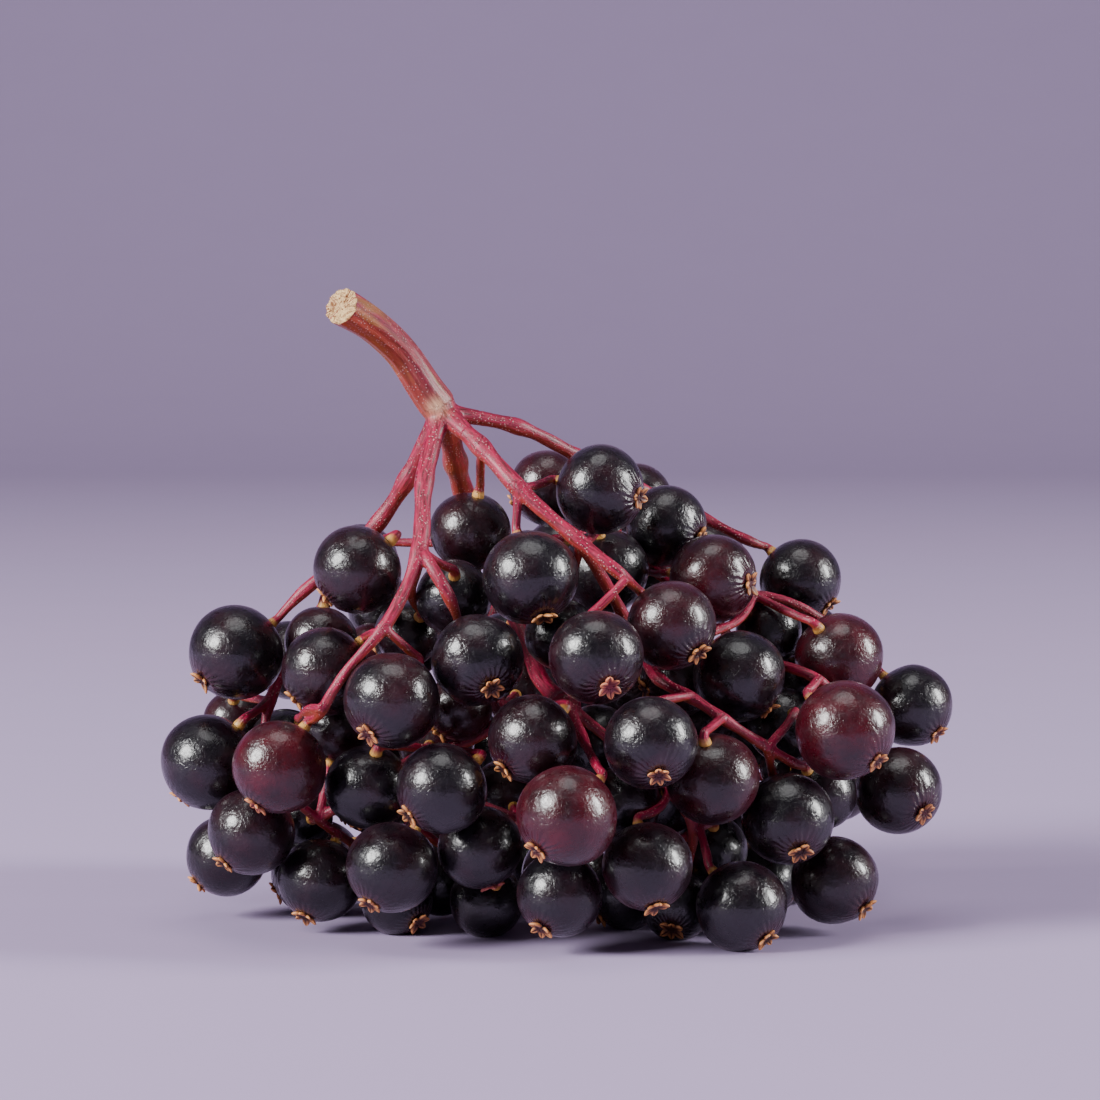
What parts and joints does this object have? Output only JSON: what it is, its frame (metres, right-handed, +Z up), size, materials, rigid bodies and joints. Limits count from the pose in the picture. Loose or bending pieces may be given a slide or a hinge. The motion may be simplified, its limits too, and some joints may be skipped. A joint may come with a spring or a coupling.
{
  "type": "elderberry cluster",
  "caption": "Cluster of ripe dark elderberries on thin branching crimson stalks, lying on a surface with its cut stalk raised.",
  "frame": {"origin": "on the surface that the cluster lies on, under the middle of its bounding box", "axes": "+X to the right as the cluster is seen from the front, +Y away from that viewer, +Z up"},
  "size_m": [0.0604, 0.047, 0.0483],
  "materials": {
    "stalk": "satin crimson bark with fine ridges and pale flecks",
    "berry": "glossy purple-black skin with a faint bloom",
    "calyx": "dry tan calyx lobes"
  },
  "bodies": {
    "root": {"peduncle": "stalk", "spray_left": "berry", "spray_front_left": "berry", "spray_front_right": "berry", "spray_upper_right": "berry", "spray_lower_right": "berry", "spray_centre": "berry", "spray_back_left": "berry", "spray_back_right": "berry"}
  },
  "joints": []
}
